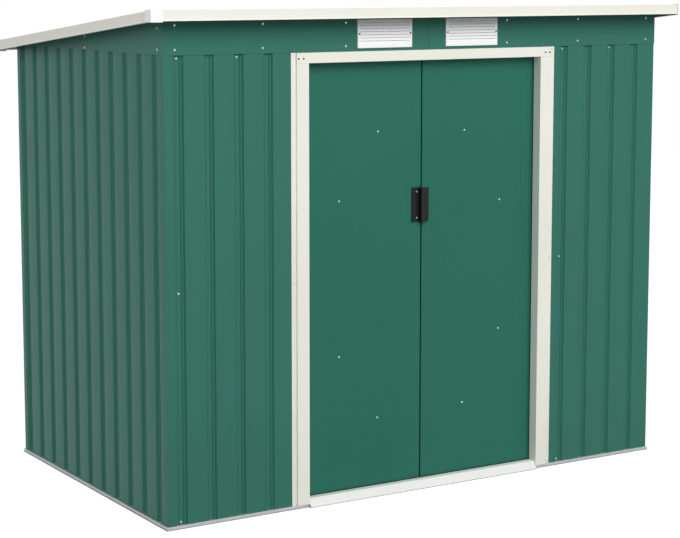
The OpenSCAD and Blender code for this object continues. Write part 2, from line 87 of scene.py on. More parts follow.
# Places that the frame gives: the walls' outline, their top and the roof's highest front edge
HALF_WIDTH = corners("front_wall_right")[1][0] - SHEET
FRONT = corners("front_wall_left")[0][1]
REAR = corners("rear_wall")[1][1]
WALL_FOOT = corners("front_wall_left")[0][2]
WALL_TOP = corners("front_wall_left")[1][2]
BAND_FOOT = corners("front_gable_left")[0][2]
ROOF_FRONT, ROOF_TOP = CAD_BOX[0][1], CAD_BOX[1][2]

# Faces that meet at less than this angle are shaded as one smooth surface
SMOOTH = math.radians(32)

# The outward direction of the front, where most screws are
FORWARDS = (0, -1, 0)


def paint(red, green, blue):
    """A display colour in 0 to 255 as the linear colour that a shader takes."""
    c = np.array([red, green, blue]) / 255
    return tuple(np.where(c <= 0.04045, c / 12.92, ((c + 0.055) / 1.055) ** 2.4))


def length(name, description, default, low=0.0, high=3.0):
    """A size in metres that a user can change."""
    return FloatProperty(
        name=name, description=description, default=default, min=low, max=high, unit="LENGTH",
    )


def angle(name, description, degrees):
    """An angle that a user can change, given here in degrees."""
    return FloatProperty(name=name, description=description, default=math.radians(degrees), subtype="ANGLE")


def colour(name, description, default):
    """A colour that a user can change."""
    return FloatVectorProperty(
        name=name, description=description, default=default, size=3, subtype="COLOR", min=0, max=1,
    )


class WallSizes(PropertyGroup):
    """The folded wall panels."""

    first: length("First groove", "From a panel's left edge to the middle of its first groove", 0.053)
    pitch: length("Pitch", "Spacing of the grooves", 0.106)
    width: length("Groove width", "Width of a groove at the face", 0.035)
    depth: length("Groove depth", "Depth of a groove", 0.007)
    lead: length("Gentle slope", "Width of a groove's gentle slope, on its left", 0.008)
    side: length("Steep slope", "Width of a groove's steep slope, on its right", 0.004)
    bead_width: length("Bead width", "Width of the bead along a groove's floor", 0.006)
    bead_gap: length("Bead gap", "Flat width between the bead and the steep slope", 0.004)
    bead_height: length("Bead height", "Height of that bead", 0.0045)
    flat_edge: length("Flat edge", "Least flat width after the last groove", 0.030)
    wrap: length("Corner flange", "Width of the flange folded round a corner", 0.028)
    bend: length("Bend radius", "Outer radius of the folds", 0.0010)
    lap: length("Side gap", "From a corner to where the next panel starts", 0.0017)


class RoofSizes(PropertyGroup):
    """The roof's slope and its ribbed sheets."""

    pitch: angle("Fall", "Slope of the roof towards the rear", 5.8)
    cover: length("Cap height", "From the underside of the sheets to the top of the caps", 0.019)
    ribs: IntProperty(name="Ribs", description="Rib spaces in a sheet", default=5, min=1, max=12)
    crest: length("Rib crest", "Width of a rib's flat top", 0.020)
    foot: length("Rib foot", "Width of a rib at its foot", 0.040)
    height: length("Rib height", "Height of a rib", 0.013)
    bend: length("Bend radius", "Radius of the folds", 0.003)


class DoorSizes(PropertyGroup):
    """The sliding leaves."""

    pitch: length("Rib pitch", "Spacing of the fine ribs", 0.0185)
    width: length("Rib width", "Width of a fine rib", 0.007)
    height: length("Rib height", "How far a fine rib stands out from the sheet", 0.0005)
    margin: length("Margin", "Plain width along a leaf's edges", 0.014)
    bend: length("Bend radius", "Radius of a leaf's folded edges", 0.002)
    edge: length("Edge radius", "Radius on the pull's edges", 0.0009)


class VentSizes(PropertyGroup):
    """The louvred vents."""

    border: length("Border", "Width of the frame at its sides and top", 0.009)
    foot: length("Foot", "Width of the frame along its foot", 0.014)
    bar: length("Bar", "Width of the bar in the middle", 0.0035)
    slats: IntProperty(name="Slats", description="Slats in a vent", default=7, min=2, max=12)
    slat: length("Slat thickness", "Thickness of a slat", 0.0012)
    edge: length("Edge", "Rounding of the frame's outer edge", 0.0012)


class ScrewSizes(PropertyGroup):
    """Pan-headed screws with a small washer."""

    head: length("Head radius", "Radius of a screw's head", 0.0030)
    rise: length("Head height", "Height of a screw's head", 0.0024)
    washer: length("Washer radius", "Radius of the washer", 0.0036)
    sides: IntProperty(name="Sides", description="Sides round a head", default=12, min=6, max=24)


class Finishes(PropertyGroup):
    """Colours, and how far the folds of the trim are rounded."""

    wall_green: colour("Wall green", "Paint of the walls", paint(54, 113, 99))
    door_green: colour("Door green", "Paint of the leaves", paint(42, 107, 91))
    roof_green: colour("Roof green", "Paint of the roof sheets", paint(54, 113, 99))
    cream: colour("Cream", "Paint of the trim", paint(238, 237, 227))
    white: colour("White", "Paint of the threshold", paint(236, 238, 233))
    zinc: colour("Zinc", "Zinc coat of the rails", paint(188, 189, 190))
    plastic: colour("White plastic", "Caps and vents", paint(252, 252, 252))
    black: colour("Black", "The pull", paint(6, 12, 11))
    nylon: colour("Nylon", "Sliders and rivets", paint(62, 66, 66))
    steel: colour("Steel", "Screw heads", paint(214, 216, 214))
    fold: length("Fold radius", "Rounding along the folds of thin trim", 0.0006)
    cap: length("Cap radius", "Rounding of the moulded corner caps", 0.0024)


class StageSizes(PropertyGroup):
    """Camera, light and floor."""

    lens: FloatProperty(name="Lens", description="Focal length in millimetres", default=99.244)
    shift: FloatProperty(name="Shift", description="Vertical shift of the view", default=-0.085)
    place: FloatVectorProperty(
        name="Place", description="Where the camera stands", default=(-3.5480, -5.7444, 1.7466),
        subtype="TRANSLATION",
    )
    yaw: angle("Yaw", "Turn of the camera", 31.655)
    dip: angle("Dip", "How far the camera looks down", 7.185)
    sky: FloatProperty(name="Sky", description="Strength of the light from all round", default=0.19)
    front: FloatProperty(name="Front lamp", description="Power of the soft lamp in front", default=1170.0)
    side: FloatProperty(name="Side lamp", description="Power of the soft lamp at the left", default=500.0)
    back: FloatProperty(
        name="Back lamp", description="Power of the soft lamp behind the right end", default=420.0,
    )
    reach: length("Lamp distance", "From the shed to each lamp", 12.0, 1.0, 30.0)
    width: length("Lamp width", "Width of each lamp's disc", 8.5, 0.1, 10.0)
    # The floor's grey is also the seen colour of the patches under the shed; their strip past the base is a
    # painted contact shadow
    floor: colour("Floor", "Colour of the floor", (0.38, 0.38, 0.38))
    painted_contact_shadow: length("Contact shade", "How far the plain floor reaches past the base", 0.004)


GROUPS = {
    "shed_walls": WallSizes,
    "shed_roof": RoofSizes,
    "shed_doors": DoorSizes,
    "shed_vents": VentSizes,
    "shed_screws": ScrewSizes,
    "shed_finishes": Finishes,
    "shed_stage": StageSizes,
}


# ---- materials ----

# Sockets of a mix node that mixes colours
MIX_FIRST, MIX_SECOND, MIX_RESULT = 6, 7, 2


def add_node(tree, kind, values=None, **settings):
    """A new node with its settings and its sockets' values; a socket given another's output is linked."""
    made = tree.nodes.new(kind)
    for key, value in settings.items():
        setattr(made, key, value)
    for key, value in (values or {}).items():
        if isinstance(value, bpy.types.NodeSocket):
            tree.links.new(value, made.inputs[key])
        else:
            made.inputs[key].default_value = value
    return made


def spread(tree, value, low, high):
    """A value from 0 to 1 carried to low to high."""
    made = add_node(tree, "ShaderNodeMapRange", {"Value": value, "To Min": low, "To Max": high})
    return made.outputs["Result"]


def noise(tree, place, scale, detail=2.0):
    """Soft random clouds, about scale of them to a metre."""
    made = add_node(tree, "ShaderNodeTexNoise", {"Vector": place, "Scale": scale, "Detail": detail})
    return made.outputs["Fac"]


def combined(tree, operation, *values):
    """The result of a math operation on values."""
    return add_node(tree, "ShaderNodeMath", dict(enumerate(values)), operation=operation).outputs[0]


def shaded(tree, factor, base, low, high):
    """The base colour made darker and lighter, from low to high times itself, by a factor."""
    dark = tuple(min(1, c * low) for c in base) + (1,)
    light = tuple(min(1, c * high) for c in base) + (1,)
    mixed = add_node(tree, "ShaderNodeMix", {"Factor": factor}, data_type="RGBA")
    mixed.inputs[MIX_FIRST].default_value = dark
    mixed.inputs[MIX_SECOND].default_value = light
    return mixed.outputs[MIX_RESULT]


def bumped(tree, layers):
    """Bumps laid over each other, each a height in 0 to 1 and its rise in metres."""
    normal = None
    for height, rise in layers:
        values = {"Height": height, "Distance": rise, "Strength": 1.0}
        if normal:
            values["Normal"] = normal
        normal = add_node(tree, "ShaderNodeBump", values).outputs["Normal"]
    return normal


def new_material(name, sheen=0.5):
    """An empty material with a shader, and the place of each point on the object."""
    made = bpy.data.materials.new(name)
    made.use_nodes = True
    tree = made.node_tree
    tree.nodes.clear()
    shader = add_node(tree, "ShaderNodeBsdfPrincipled", {"Specular IOR Level": sheen})
    output = add_node(tree, "ShaderNodeOutputMaterial")
    tree.links.new(shader.outputs["BSDF"], output.inputs["Surface"])
    place = add_node(tree, "ShaderNodeTexCoord").outputs["Object"]
    return made, tree, shader, place


def fill(tree, shader, colour_out, roughness_out, normal_out):
    """Joins a shader to what gives its colour, roughness and bumps."""
    tree.links.new(colour_out, shader.inputs["Base Color"])
    tree.links.new(roughness_out, shader.inputs["Roughness"])
    tree.links.new(normal_out, shader.inputs["Normal"])


def painted_sheet(name, base, gloss=(0.36, 0.46)):
    """Satin paint: faint broad shade, fine orange peel, and the slow waves of thin sheet."""
    made, tree, shader, place = new_material(name, sheen=0.12)
    broad = noise(tree, place, 1.7, 3)
    speck = noise(tree, place, 95, 3)
    tone = combined(tree, "ADD", broad, spread(tree, speck, -0.18, 0.18))
    peel = noise(tree, place, 620, 2)
    waves = noise(tree, place, 5.0, 1)
    fill(
        tree, shader, shaded(tree, tone, base, 0.93, 1.07), spread(tree, noise(tree, place, 16), *gloss),
        bumped(tree, [(waves, 0.0011), (peel, 0.000025)]),
    )
    return made


def zinc_coat(name, base, gloss=(0.36, 0.56)):
    """Zinc spangle: small crystals that differ in shade and gloss."""
    made, tree, shader, place = new_material(name)
    crystals = add_node(tree, "ShaderNodeTexVoronoi", {"Vector": place, "Scale": 130.0})
    shade = add_node(tree, "ShaderNodeSeparateColor", {"Color": crystals.outputs["Color"]}).outputs["Red"]
    grime = noise(tree, place, 11, 4)
    tone = combined(tree, "MULTIPLY_ADD", shade, grime, 0.2)
    fill(
        tree, shader, shaded(tree, tone, base, 0.86, 1.08), spread(tree, shade, *gloss),
        bumped(tree, [(grime, 0.0003), (shade, 0.00001)]),
    )
    shader.inputs["Metallic"].default_value = 0.5
    return made


def moulded(name, base, gloss=(0.40, 0.52)):
    """Moulded plastic: fine grain and a faint cloud."""
    made, tree, shader, place = new_material(name, sheen=0.25)
    cloud = noise(tree, place, 9, 2)
    grain = noise(tree, place, 1500, 2)
    fill(
        tree, shader, shaded(tree, cloud, base, 0.96, 1.03), spread(tree, grain, *gloss),
        bumped(tree, [(cloud, 0.0002), (grain, 0.00002)]),
    )
    return made


def bright_steel(name, base, gloss=(0.24, 0.42)):
    """Plated steel of the screws, with fine scuffs."""
    made, tree, shader, place = new_material(name)
    marks = noise(tree, place, 900, 3)
    fill(
        tree, shader, shaded(tree, marks, base, 0.85, 1.05), spread(tree, marks, *gloss),
        bumped(tree, [(marks, 0.00003)]),
    )
    shader.inputs["Metallic"].default_value = 0.9
    return made


# The record's slots and the screws' steel, each with its material's maker and its colour's name
MAKERS = {
    "wall_green": (painted_sheet, "wall_green"),
    "roof_green": (painted_sheet, "roof_green"),
    "door_green": (painted_sheet, "door_green"),
    "cream_trim": (painted_sheet, "cream"),
    "white_metal": (painted_sheet, "white"),
    "galvanised": (zinc_coat, "zinc"),
    "white_plastic": (moulded, "plastic"),
    "black_plastic": (moulded, "black"),
    "nylon": (moulded, "nylon"),
    "screw_steel": (bright_steel, "steel"),
}


def finish_of(slot):
    """The material of a slot, made the first time that it is asked for."""
    found = bpy.data.materials.get("finish_" + slot)
    if found:
        return found
    maker, tint = MAKERS[slot]
    return maker("finish_" + slot, tuple(getattr(bpy.context.scene.shed_finishes, tint)))


# ---- surfaces ----


def rounded(line, radius, steps=5):
    """A line (n, 2) with each inner corner turned into an arc.

    From a corner, radius over the tangent of its half angle is stepped back along each edge, at
    least 0.02 of the radius and at most 0.45 of the shorter edge; between those two points runs a
    parabola towards the corner.
    """
    here, back, ahead = line[1:-1], line[:-2] - line[1:-1], line[2:] - line[1:-1]
    reach_back, reach_ahead = np.linalg.norm(back, axis=1), np.linalg.norm(ahead, axis=1)
    back, ahead = back / reach_back[:, None], ahead / reach_ahead[:, None]
    half = np.arccos(np.clip((back * ahead).sum(1), -1, 1)) / 2
    most = 0.45 * np.minimum(reach_back, reach_ahead)
    step = np.clip(radius / np.tan(half), 0.02 * radius, most)[:, None]
    t = np.linspace(0, 1, steps)[None, :, None]
    start, end = (here + step * back)[:, None], (here + step * ahead)[:, None]
    arcs = (1 - t) ** 2 * start + 2 * t * (1 - t) * here[:, None] + t**2 * end
    return np.vstack([line[:1], arcs.reshape(-1, 2), line[-1:]])


def inset(line, thickness):
    """Each point moved to the left of the line by a thickness, along the mitre of its two edges.

    With unit normals a and b of the edges before and after, the mitre is (a + b) / (1 + a.b).
    """
    edge = np.diff(line, axis=0)
    normal = np.stack([-edge[:, 1], edge[:, 0]], 1) / np.linalg.norm(edge, axis=1)[:, None]
    before, after = np.vstack([normal[:1], normal]), np.vstack([normal, normal[-1:]])
    mitre = (before + after) / (1 + (before * after).sum(1))[:, None]
    return line + thickness * mitre


def sheet_section(line, thickness):
    """The closed section of a sheet: the line, then its inset run back."""
    return np.vstack([line, inset(line, thickness)[::-1]])


def repeated(middles, across, out):
    """One outline, given across and out, set at each middle in turn as a single line (n, 2)."""
    return np.stack(np.broadcast_arrays(middles[:, None] + across, out), 2).reshape(-1, 2)


def risen(plan, low, high):
    """Two loops of a plan (n, 2): at a low and a high z, each one number or one for each point."""
    return np.stack([np.column_stack([plan, np.broadcast_to(z, len(plan))]) for z in (low, high)])


def tube(loops, ends="sheet", closed=False):
    """Vertices and faces of loops (k, m, 3) joined each to the next, with outward faces.

    The ends of a sheet are strips between the two halves of its loop; other ends are one face.
    A closed tube's last loop joins its first. Six times the volume is the sum over the faces'
    triangles of a . (b x c), and where it is negative every face is turned round.
    """
    count, size = loops.shape[:2]
    index = np.arange(count * size).reshape(count, size)
    rows = index if closed else index[:-1]
    nexts = np.roll(index, -1, axis=0) if closed else index[1:]
    quads = np.stack([rows, np.roll(rows, -1, axis=1), np.roll(nexts, -1, axis=1), nexts], 2).reshape(-1, 4)
    points = loops.reshape(-1, 3)
    others = []
    if not closed and ends == "sheet":
        half = size // 2
        a = np.arange(half - 1)
        strip = np.stack([a, size - 1 - a, size - 2 - a, a + 1], 1)
        quads = np.vstack([quads, index[0][strip], index[-1][strip[:, ::-1]]])
    elif not closed:
        others = [index[0][::-1].tolist(), index[-1].tolist()]
    fans = np.vstack([quads[:, [0, 1, 2]], quads[:, [0, 2, 3]]])
    centre = points.mean(0)
    a, b, c = (points[fans[:, k]] - centre for k in range(3))
    turned = (a * np.cross(b, c)).sum() < 0
    faces = quads[:, ::-1].tolist() if turned else quads.tolist()
    return points, faces + [f[::-1] if turned else f for f in others]


def add_piece(name, shells, material, body, stands_for=(), smooth=SMOOTH):
    """One object of several shells (vertices, faces), riding on a body."""
    starts = np.cumsum([0] + [len(points) for points, _ in shells])
    points = np.vstack([p for p, _ in shells])
    faces = [[i + start for i in face] for (_, some), start in zip(shells, starts) for face in some]
    mesh = bpy.data.meshes.new(name)
    mesh.from_pydata(points.tolist(), [], faces)
    return place_piece(name, mesh, material, body, stands_for, smooth)


def place_piece(name, mesh, material, body, stands_for, smooth=SMOOTH):
    """Puts a finished mesh into the scene with its material, body and slot."""
    mesh.polygons.foreach_set("use_smooth", np.ones(len(mesh.polygons), bool))
    mesh.set_sharp_from_angle(angle=smooth)
    mesh.materials.clear()
    mesh.materials.append(material)
    mesh.update()
    piece = bpy.data.objects.new(name, mesh)
    bpy.context.scene.collection.objects.link(piece)
    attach(piece, body)
    if stands_for:
        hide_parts(*stands_for)
    return piece


# Shares of the fold radius that the gables, the door frame and the base rails take
GABLE_FOLD, FRAME_FOLD, RAIL_FOLD = 0.7, 0.9, 0.8

# A node's corners nearer than this are one point, faces that turn less than this are one face,
# and edges that turn more than this are rounded
SAME_POINT = 1e-6
SAME_FACE = math.radians(0.6)
ROUNDED_EDGE = math.radians(25)


def softened(node, ending, radius, body=SHED, steps=2):
    """A copy of a node with its loose triangles merged into faces and its edges rounded."""
    name = f"{node}_{ending}"
    mesh = frame["nodes"][node].data.copy()
    mesh.name = name
    work = bmesh.new()
    work.from_mesh(mesh)
    bmesh.ops.remove_doubles(work, verts=work.verts, dist=SAME_POINT)
    bmesh.ops.dissolve_limit(work, angle_limit=SAME_FACE, verts=work.verts, edges=work.edges)
    work.to_mesh(mesh)
    work.free()
    slot = slot_of(node)
    piece = place_piece(name, mesh, finish_of(slot), body, [node])
    bevel = piece.modifiers.new("Rounded edges", "BEVEL")
    bevel.width, bevel.segments = radius, steps
    bevel.limit_method, bevel.angle_limit = "ANGLE", ROUNDED_EDGE
    return piece


def slot_of(node):
    """The record's material slot of a node."""
    return next(s["material_slot"] for s in frame["record"]["subparts"] if s["node"] == node)


def block(low, high):
    """The eight corners of a block as a shell: its foot outline carried to its top."""
    plan = np.array([[low[0], low[1]], [high[0], low[1]], [high[0], high[1]], [low[0], high[1]]])
    return tube(risen(plan, low[2], high[2]), ends="face")


# The walls seen from outside: the corner where each starts, its run and its inward direction
SIDES = {
    "front": ((-HALF_WIDTH, FRONT), (1, 0), (0, 1)),
    "right": ((HALF_WIDTH, FRONT), (0, 1), (-1, 0)),
    "rear": ((HALF_WIDTH, REAR), (-1, 0), (0, -1)),
    "left": ((-HALF_WIDTH, REAR), (0, -1), (1, 0)),
}


def on_side(side, plan):
    """A plan (n, 2), along a wall and inwards from its outer face, as world x and y."""
    start, run, inwards = (np.array(v, float) for v in SIDES[side])
    return start + plan[:, :1] * run + plan[:, 1:] * inwards


def roof_height(y, above=0.0):
    """Height at y of a plane that lies above the underside of the roof sheets.

    The underside is cover / cos(pitch) below the caps' front edge, and falls by tan(pitch).
    """
    roof = bpy.context.scene.shed_roof
    under = ROOF_TOP - roof.cover / math.cos(roof.pitch)
    return under + above / math.cos(roof.pitch) - math.tan(roof.pitch) * (y - ROOF_FRONT)


# ---- walls ----

# How far the side walls end below the roof sheets, and a corner's flange below the front band
ROOF_GAP = 0.0017
BAND_GAP = 0.001


def groove_count(walls, end):
    """How many grooves fit on a panel that ends there, with its last stretch left flat.

    A hair is added before rounding down, so that a groove that only just fits is counted.
    """
    room = end - walls.first - walls.width / 2 - walls.flat_edge
    return 1 + int(room / walls.pitch + 1e-9)


def groove_line(walls, start, end):
    """A panel's outer line from start to end: seven points for each groove on the flat.

    A groove about c goes down its gentle slope, along its floor, over its bead and up its steep slope.
    """
    half, bead = walls.width / 2, walls.bead_width / 2
    floor_end = half - walls.side
    peak = floor_end - walls.bead_gap - bead
    across = np.array([-half, -half + walls.lead, peak - bead, peak, peak + bead, floor_end, half])
    down = np.array([0, 1, 1, 1, 1, 1, 0]) * walls.depth - np.array([0, 0, 0, 1, 0, 0, 0]) * walls.bead_height
    middles = walls.first + walls.pitch * np.arange(groove_count(walls, end))
    return np.vstack([[[start, 0]], repeated(middles, across, down), [[end, 0]]])


def wall_panel(node, side, shift, start, end, wraps, top):
    """A folded panel: its section carried from the base rail to its top, which may follow the roof."""
    walls = bpy.context.scene.shed_walls
    line = groove_line(walls, start, end)
    if wraps:
        line = np.vstack([line[:-1], [[end + SHEET, 0], [end + SHEET, walls.wrap]]])
    section = sheet_section(rounded(line, walls.bend), SHEET)
    wrapped = section[:, 0] > end - SHEET / 2
    plan = on_side(side, section + [shift, 0])
    tops = top(plan[:, 1])
    tops = np.where(wrapped & wraps, np.minimum(tops, BAND_FOOT - BAND_GAP), tops)
    shell = tube(risen(plan, WALL_FOOT, tops))
    add_piece(f"{node}_ribbed", [shell], finish_of("wall_green"), SHED, [node])


class SHED_OT_walls(Operator):
    """Make the five ribbed wall panels"""

    bl_idname = "shed.walls"
    bl_label = "Ribbed walls"

    def execute(self, context):
        walls = context.scene.shed_walls
        width, depth = 2 * HALF_WIDTH, REAR - FRONT
        panel = corners("front_wall_left")[1][0] + HALF_WIDTH
        rear_top = corners("rear_wall")[1][2]

        def level(y):
            return np.full_like(y, WALL_TOP)

        def sloping(y):
            return np.minimum(WALL_TOP, roof_height(y, -ROOF_GAP))

        wall_panel("front_wall_left", "front", 0, walls.lap, panel, False, level)
        wall_panel("front_wall_right", "front", width - panel, 0, panel, True, level)
        wall_panel("left_wall", "left", 0, walls.lap, depth, True, sloping)
        wall_panel("right_wall", "right", 0, walls.lap, depth, True, sloping)
        wall_panel("rear_wall", "rear", 0, walls.lap, width, True, lambda y: np.full_like(y, rear_top))
        return {"FINISHED"}


# The front band's return round a corner: its thickness and width, and its gaps at foot and head
RETURN_THICKNESS, RETURN_WIDTH = 0.0007, 0.011
RETURN_FOOT_GAP, RETURN_HEAD_GAP = 0.0005, 0.0006


def gable_return(side):
    """The strip that the front band folds round a corner, from above the wall to the roof."""
    out = side * (HALF_WIDTH + SHEET)
    near, far = sorted((out, out + side * RETURN_THICKNESS))
    front = FRONT - SHEET
    back = front + RETURN_WIDTH
    return block([near, front, BAND_FOOT + RETURN_FOOT_GAP], [far, back, roof_height(back) - RETURN_HEAD_GAP])


class SHED_OT_gables(Operator):
    """Make the plain panels under the roof, with the front ones folded round the corners"""

    bl_idname = "shed.gables"
    bl_label = "Gable panels"

    def execute(self, context):
        fold = context.scene.shed_finishes.fold
        for node in ("front_gable_left", "front_gable_right", "side_gable_left", "side_gable_right"):
            softened(node, "folded", fold * GABLE_FOLD)
        returns = [gable_return(side) for side in (-1, 1)]
        add_piece("front_gable_returns", returns, finish_of("wall_green"), SHED)
        return {"FINISHED"}


# ---- roof ----


def on_roof(across, down, above):
    """Points given across the roof, down its fall and out of it, turned by the pitch into world.

    y is down * cos + above * sin behind the front edge, and z falls by down * sin and rises by
    above * cos from the underside of the sheets there.
    """
    roof = bpy.context.scene.shed_roof
    c, s = math.cos(roof.pitch), math.sin(roof.pitch)
    y = ROOF_FRONT + down * c + above * s
    z = ROOF_TOP - roof.cover / c - down * s + above * c
    return np.stack(np.broadcast_arrays(across, y, z), -1)


def roof_section(roof, width):
    """A sheet's section: ribs of slope, flat crest and slope, with half a rib at each edge."""
    middles = np.linspace(0, width, roof.ribs + 1)
    across = np.array([-roof.foot, -roof.crest, roof.crest, roof.foot]) / 2
    line = repeated(middles, across, np.array([0, 1, 1, 0]) * roof.height)
    line = line[(line[:, 0] > 0) & (line[:, 0] < width)]
    line = np.vstack([[[0, roof.height]], line, [[width, roof.height]]])
    return sheet_section(rounded(line, roof.bend), SHEET)


class SHED_OT_roof(Operator):
    """Make the ribbed roof sheets"""

    bl_idname = "shed.roof"
    bl_label = "Roof sheets"

    def execute(self, context):
        roof = context.scene.shed_roof
        c, s = math.cos(roof.pitch), math.sin(roof.pitch)
        for node in sorted(n for n in frame["nodes"] if n.startswith("roof_sheet_")):
            low, high = corners(node)
            section = roof_section(roof, high[0] - low[0])
            start = (low[1] - ROOF_FRONT) / c
            end = (high[1] - ROOF_FRONT - (roof.height + SHEET) * s) / c
            loops = np.stack([on_roof(low[0] + section[:, 0], down, section[:, 1]) for down in (start, end)])
            add_piece(f"{node}_ribbed", [tube(loops)], finish_of("roof_green"), SHED, [node])
        return {"FINISHED"}


class SHED_OT_trim(Operator):
    """Round the folds of the fascias and the door frame, and the moulded corner caps"""

    bl_idname = "shed.trim"
    bl_label = "Fascias, caps and door frame"

    def execute(self, context):
        finishes = context.scene.shed_finishes
        for node in ("fascia_front", "fascia_rear", "fascia_left", "fascia_right"):
            softened(node, "folded", finishes.fold)
        for node in ("door_jamb_left", "door_jamb_right", "door_header"):
            softened(node, "folded", finishes.fold * FRAME_FOLD)
        softened("corner_caps", "moulded", finishes.cap, steps=3)
        return {"FINISHED"}


class SHED_OT_base(Operator):
    """Round the folds of the base rails and the threshold"""

    bl_idname = "shed.base"
    bl_label = "Base rails and threshold"

    def execute(self, context):
        fold = context.scene.shed_finishes.fold
        for node in ("base_rail_front", "base_rail_rear", "base_rail_left", "base_rail_right"):
            softened(node, "folded", fold * RAIL_FOLD)
        softened("threshold_ramp", "folded", fold)
        return {"FINISHED"}


# ---- doors ----


def leaf_tray(node, body):
    """A leaf: a face with fine ribs between two folded edges, carried up, and a fold at each end.

    A fine rib is one wave of (1 - cos) / 2 across its width, standing out by its height.
    """
    doors = bpy.context.scene.shed_doors
    low, high = corners(node)
    face = low[1] + doors.height
    inner = high[0] - low[0] - 2 * doors.margin
    count = int(inner / doors.pitch)
    middles = low[0] + doors.margin + inner / 2 + doors.pitch * (np.arange(count) - (count - 1) / 2)
    t = np.linspace(0, 1, 7)
    out = face - doors.height * (1 - np.cos(2 * math.pi * t)) / 2
    ribs = repeated(middles, (t - 0.5) * doors.width, out)
    edges = np.array([[low[0], high[1]], [low[0], face], [high[0], face], [high[0], high[1]]])
    ends = rounded(edges, doors.bend)
    half = len(ends) // 2
    line = np.vstack([ends[:half], ribs, ends[half:]])
    shells = [tube(risen(sheet_section(line, SHEET), low[2], high[2]))]
    back = face + SHEET
    for foot in (low[2], high[2] - SHEET):
        shells.append(block([low[0] + SHEET, back, foot], [high[0] - SHEET, high[1], foot + SHEET]))
    add_piece(f"{node}_ribbed", shells, finish_of("door_green"), body, [node])


class SHED_OT_doors(Operator):
    """Make the two finely ribbed leaves and round the pull"""

    bl_idname = "shed.doors"
    bl_label = "Door leaves and pull"

    def execute(self, context):
        leaf_tray("door_leaf_left", LEFT_LEAF)
        leaf_tray("door_leaf_right", RIGHT_LEAF)
        softened("door_pull", "moulded", context.scene.shed_doors.edge, LEFT_LEAF, steps=3)
        return {"FINISHED"}


# ---- vents ----

# How far the bar and slats lie behind the frame's face, and how far they reach into the frame
VENT_SEAT = 0.0002
VENT_TUCK = 0.001

# A slat's outline, in shares of the vent's depth and of the slats' spacing, the radius of its
# bends, and its sheet's share of the slat thickness
SLAT_OUTLINE = [[0.12, -0.06], [0.12, 0.06], [0.26, 0.70], [0.90, 0.80], [0.92, 1.0]]
SLAT_BEND = 0.0006
SLAT_SHEET = 0.6


def vent_frame(low, high, vents):
    """The frame: a section carried round four corners, between an outer and an inner outline.

    Each corner's points lie on the line from the outer corner to the inner one; the section gives
    how far along it they are and how deep.
    """
    edge = vents.edge / vents.border
    deep = high[1] - low[1]
    share = np.array([0, 0, edge * 0.3, edge, 1 - edge * 0.5, 1, 1])
    depth = np.array([deep, vents.edge, vents.edge * 0.3, 0, 0, vents.edge * 0.6, deep])
    outer = np.array([[low[0], low[2]], [high[0], low[2]], [high[0], high[2]], [low[0], high[2]]])
    wide, tall = vents.border, vents.foot
    inner = outer + [[wide, tall], [-wide, tall], [-wide, -wide], [wide, -wide]]
    flat = outer[:, None] + share[None, :, None] * (inner - outer)[:, None]
    loops = np.stack([flat[..., 0], np.broadcast_to(low[1] + depth, flat.shape[:2]), flat[..., 1]], 2)
    return tube(loops, closed=True)


def vent_slats(low, high, vents):
    """Slats whose front edges hang over the next one: a stepped section carried across the vent.

    From its lower front edge a slat leans slightly back, then turns in to the dark gap above it.
    """
    sill, head = low[2] + vents.foot, high[2] - vents.border
    step = (head - sill) / vents.slats
    deep = high[1] - low[1]
    shells = []
    line = rounded(np.array(SLAT_OUTLINE) * [deep, step], SLAT_BEND)
    for k in range(vents.slats):
        section = sheet_section(line, vents.slat * SLAT_SHEET) + [low[1] + VENT_SEAT, sill + k * step]
        section[:, 1] = np.clip(section[:, 1], sill - VENT_TUCK, head + VENT_TUCK)
        ends = (low[0] + vents.border - VENT_TUCK, high[0] - vents.border + VENT_TUCK)
        shells.append(tube(np.stack([np.column_stack([np.full(len(section), x), section]) for x in ends])))
    return shells


class SHED_OT_vents(Operator):
    """Make the two louvred vents"""

    bl_idname = "shed.vents"
    bl_label = "Vents"

    def execute(self, context):
        vents = context.scene.shed_vents
        for node in ("vent_left", "vent_right"):
            low, high = corners(node)
            middle = (low[0] + high[0]) / 2
            bar = block(
                [middle - vents.bar / 2, low[1] + VENT_SEAT, low[2] + vents.foot - VENT_TUCK],
                [middle + vents.bar / 2, high[1], high[2] - vents.border + VENT_TUCK],
            )
            shells = [vent_frame(low, high, vents), bar, *vent_slats(low, high, vents)]
            add_piece(f"{node}_louvred", shells, finish_of("white_plastic"), SHED, [node])
        return {"FINISHED"}


# ---- screws ----

# Places along the front band and its two rows, and places (y, z) on each side gable
BAND_PLACES = (-0.945, -0.634, -0.325, 0.325, 0.634, 0.945)
BAND_ROWS = (1.593, 1.517)
GABLE_PLACES = ((-0.516, 1.584), (-0.516, 1.518), (0.028, 1.545), (0.028, 1.507))

# Heights of the rows on the walls, how far the screws stand to the left of a groove's middle, and
# the least distance of the head's row from the top of the low rear wall
HEAD_ROW, MIDDLE_ROW, FOOT_ROW = 1.491, 0.755, 0.019
BEAD_SIDE = 0.0047
REAR_TOP_IN = 0.02

# Heights of the rows on the jambs' flanges, and how far in from the flange's edge they stand
JAMB_ROWS = (1.490, 0.753, 0.020)
JAMB_IN = 0.009

# Places across the front and rear fascias and down the side ones, how far in from the edge, and
# the thickness of a corner cap, whose top stands that much above the fascias
FASCIA_PLACES = (-0.840, -0.525, -0.210, 0.105, 0.416, 0.730)
FASCIA_DOWN = (0.655, 0.24, 1.06)
FASCIA_IN = 0.014
CAP_THICKNESS = 0.003

# Rivets of the header and the vents
HEADER_PLACES = (0.488, 0.507)
HEADER_ROW = 1.480
VENT_RIVET_IN = 0.0065

